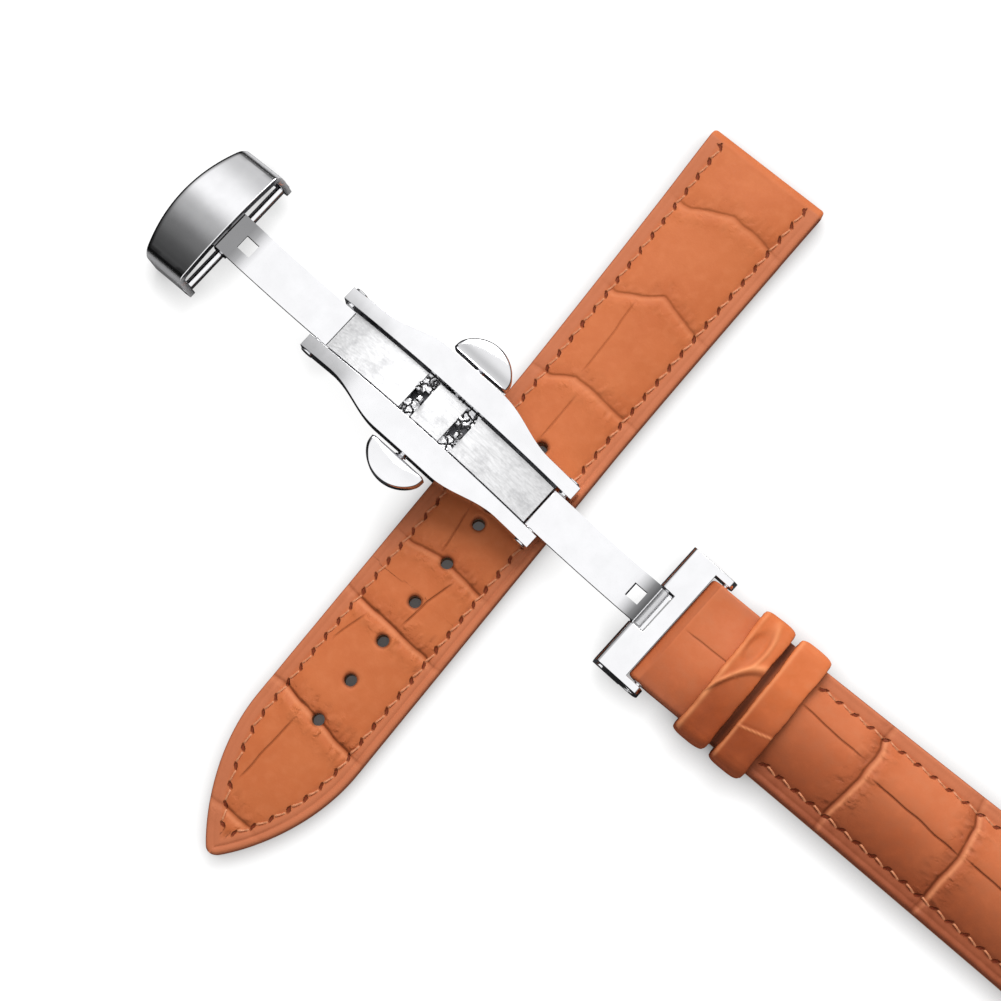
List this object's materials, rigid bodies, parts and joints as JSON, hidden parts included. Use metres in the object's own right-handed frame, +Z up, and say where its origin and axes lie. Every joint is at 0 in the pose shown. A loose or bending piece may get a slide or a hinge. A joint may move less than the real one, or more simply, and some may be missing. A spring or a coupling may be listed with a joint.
{
  "type": "leather watch strap",
  "caption": "Two-piece padded leather watch strap with embossed square-scale grain, stitched margins, two keepers and an unfolded double push-button butterfly clasp.",
  "frame": {"origin": "on the underside of the long strap, straight under the clasp's right hinge pin, on the surface that the strap lies on", "axes": "+X along the open clasp towards the short strap, +Y across the clasp towards the long strap's watch end, +Z up from the surface"},
  "size_m": [0.1591, 0.1123, 0.0103],
  "materials": {
    "embossed_leather": "orange-tan calf leather, embossed with square scales, satin",
    "lining_leather": "smooth matt lining leather",
    "padding": "pressed fibre padding",
    "thread": "waxed thread, tan",
    "keeper_leather": "orange-brown calf leather, satin",
    "polished_steel": "mirror-polished stainless steel",
    "brushed_steel": "stainless steel, brushed lengthwise",
    "spring_wire": "drawn spring wire"
  },
  "bodies": {
    "long_strap": {"long_top_leather": "embossed_leather", "long_filler": "padding", "long_lining": "lining_leather", "long_stitching": "thread"},
    "frame": {"base_plate": "brushed_steel", "rail_a": "polished_steel", "rail_b": "polished_steel", "left_plate": "brushed_steel", "middle_pad": "brushed_steel", "right_plate": "brushed_steel", "left_pin": "polished_steel", "right_pin": "polished_steel", "button_spring_a": "spring_wire", "button_spring_b": "spring_wire"},
    "button_a": {"button_a": "polished_steel", "catch_a": "brushed_steel"},
    "button_b": {"button_b": "polished_steel", "catch_b": "brushed_steel"},
    "arm_1": {"arm_1": "polished_steel"},
    "cover": {"cover_shell": "polished_steel", "cover_rod": "polished_steel", "cover_cross_bar": "brushed_steel", "strap_peg": "brushed_steel"},
    "arm_2": {"arm_2": "polished_steel"},
    "t_bar": {"t_bar": "polished_steel", "t_bar_pin": "polished_steel"},
    "short_strap": {"short_top_leather": "embossed_leather", "short_filler": "padding", "short_lining": "lining_leather", "short_stitching": "thread", "fixed_keeper": "keeper_leather", "clasp_bar_tube": "brushed_steel", "clasp_bar_spring": "spring_wire"},
    "loose_keeper": {"loose_keeper": "keeper_leather"},
    "bar_tip_a": {"clasp_bar_tip_a": "brushed_steel"},
    "bar_tip_b": {"clasp_bar_tip_b": "brushed_steel"}
  },
  "joints": [
    {"name": "clasp_lift", "type": "slide", "parent": "long_strap", "child": "frame", "axis": [0, 0, 1], "range_m": [0, 0.03]},
    {"name": "arm_1_fold", "type": "hinge", "parent": "frame", "child": "arm_1", "pos_m": [-0.036, 0, 0.00569], "axis": [0, 1, 0], "range_deg": [0, 169.45]},
    {"name": "cover_turn", "type": "hinge", "parent": "arm_1", "child": "cover", "pos_m": [-0.05365, 0, 0.0032], "axis": [0, -1, 0], "range_deg": [0, 157.5]},
    {"name": "arm_2_fold", "type": "hinge", "parent": "frame", "child": "arm_2", "pos_m": [0, 0, 0.00569], "axis": [0, -1, 0], "range_deg": [0, 169.45]},
    {"name": "t_bar_turn", "type": "hinge", "parent": "arm_2", "child": "t_bar", "pos_m": [0.01765, 0, 0.0032], "axis": [0, 1, 0], "range_deg": [0, 167.5]},
    {"name": "short_strap_swing", "type": "hinge", "parent": "t_bar", "child": "short_strap", "pos_m": [0.02265, 0, 0.0036], "axis": [0, -1, 0], "range_deg": [-80, 85]},
    {"name": "button_a_press", "type": "slide", "parent": "frame", "child": "button_a", "axis": [0, -1, 0], "range_m": [0, 0.0005], "stiffness_N_per_m": 1500, "deforming": ["button_spring_a"]},
    {"name": "button_b_press", "type": "slide", "parent": "frame", "child": "button_b", "axis": [0, 1, 0], "range_m": [0, 0.0005], "stiffness_N_per_m": 1500, "deforming": ["button_spring_b"]},
    {"name": "loose_keeper_slide", "type": "slide", "parent": "short_strap", "child": "loose_keeper", "axis": [0.9985, 0.0471, -0.0265], "range_m": [0, 0.01]},
    {"name": "bar_tip_a_slide", "type": "slide", "parent": "short_strap", "child": "bar_tip_a", "axis": [0, -1, 0], "range_m": [0, 0.00105], "stiffness_N_per_m": 600, "deforming": ["clasp_bar_spring"]},
    {"name": "bar_tip_b_slide", "type": "slide", "parent": "short_strap", "child": "bar_tip_b", "axis": [0, 1, 0], "range_m": [0, 0.00105], "stiffness_N_per_m": 600, "deforming": ["clasp_bar_spring"]}
  ],
  "couplings": [
    {"joint": "cover_turn", "follows": "arm_1_fold", "ratio": 0.929},
    {"joint": "t_bar_turn", "follows": "arm_2_fold", "ratio": 0.988}
  ]
}
